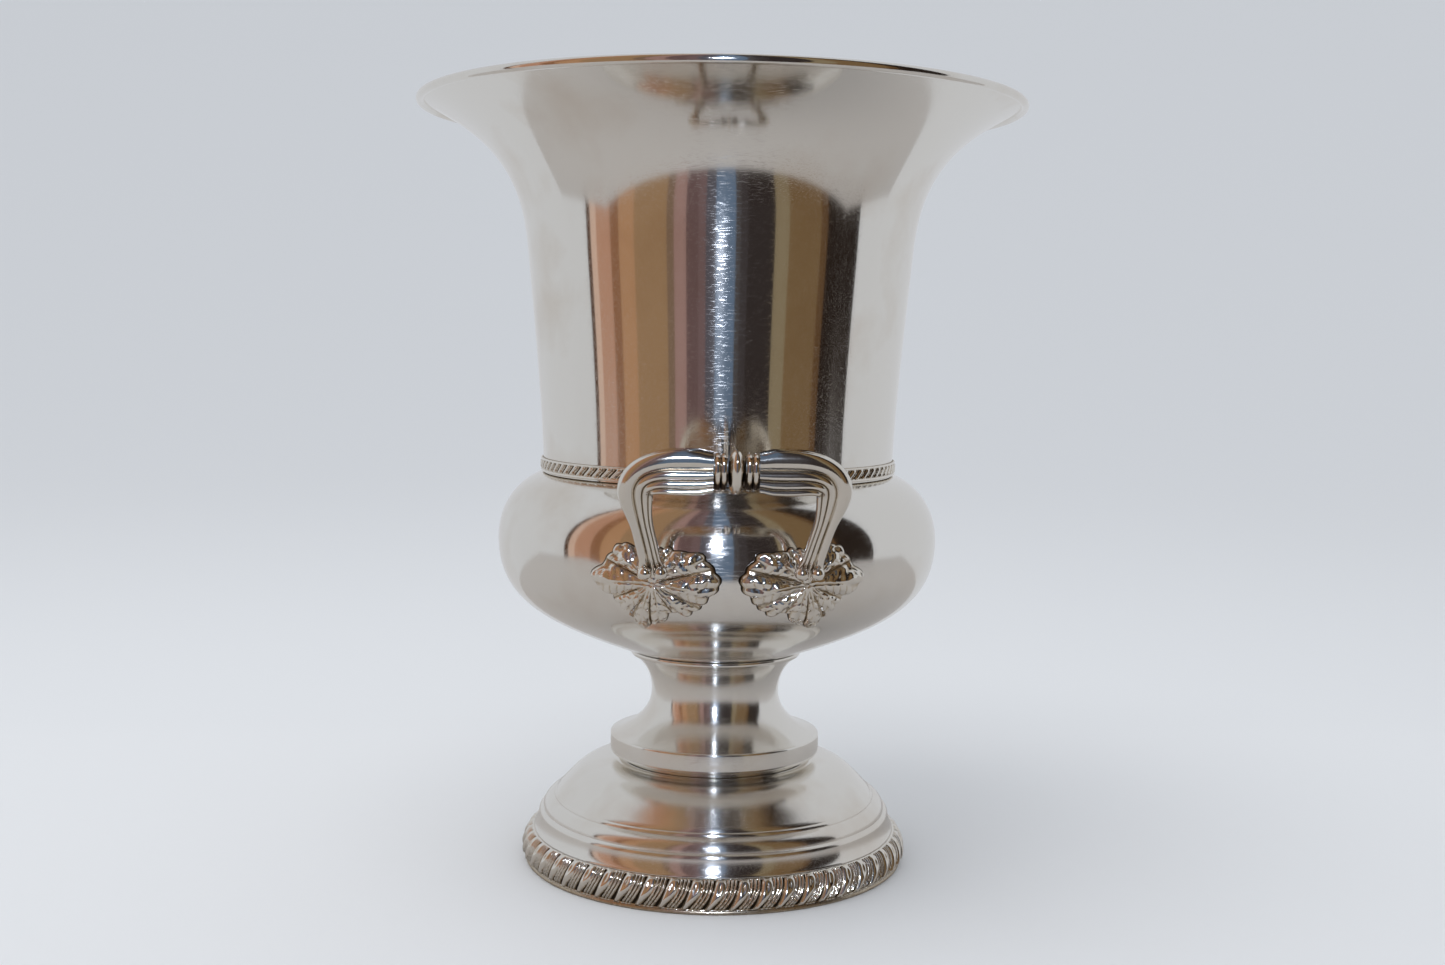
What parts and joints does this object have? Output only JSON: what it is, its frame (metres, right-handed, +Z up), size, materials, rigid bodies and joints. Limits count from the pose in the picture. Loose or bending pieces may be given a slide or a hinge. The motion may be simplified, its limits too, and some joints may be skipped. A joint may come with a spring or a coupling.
{
  "type": "champagne bucket stand",
  "caption": "Urn-shaped silver-plated champagne bucket on its own pedestal foot, with reeded loop handles on vine-leaf mounts and gadroon borders.",
  "frame": {"origin": "centre of the foot's underside, on the surface that the bucket stands on", "axes": "+Z up along the bucket's axis, -Y towards the front handle, +X to the right seen from the front"},
  "size_m": [0.2146, 0.2146, 0.2714],
  "materials": {
    "polished_plate": "polished",
    "handle_plate": "polished",
    "oxidised_plate": "gloss",
    "dull_plate": "satin",
    "bare_brass": "satin"
  },
  "bodies": {
    "root": {"upper_body": "polished_plate", "rim_wire": "polished_plate", "bowl": "polished_plate", "waist_band": "oxidised_plate", "stem": "polished_plate", "foot_dome": "polished_plate", "gadroon_border": "oxidised_plate", "base_ring": "dull_plate", "mounting_stud": "bare_brass", "clamp_washer": "bare_brass", "clamp_nut": "bare_brass", "front_handle_left_arm": "handle_plate", "front_handle_right_arm": "handle_plate", "front_handle_knop": "handle_plate", "front_handle_left_leaf": "oxidised_plate", "front_handle_right_leaf": "oxidised_plate", "back_handle_left_arm": "handle_plate", "back_handle_right_arm": "handle_plate", "back_handle_knop": "handle_plate", "back_handle_left_leaf": "oxidised_plate", "back_handle_right_leaf": "oxidised_plate"}
  },
  "joints": []
}
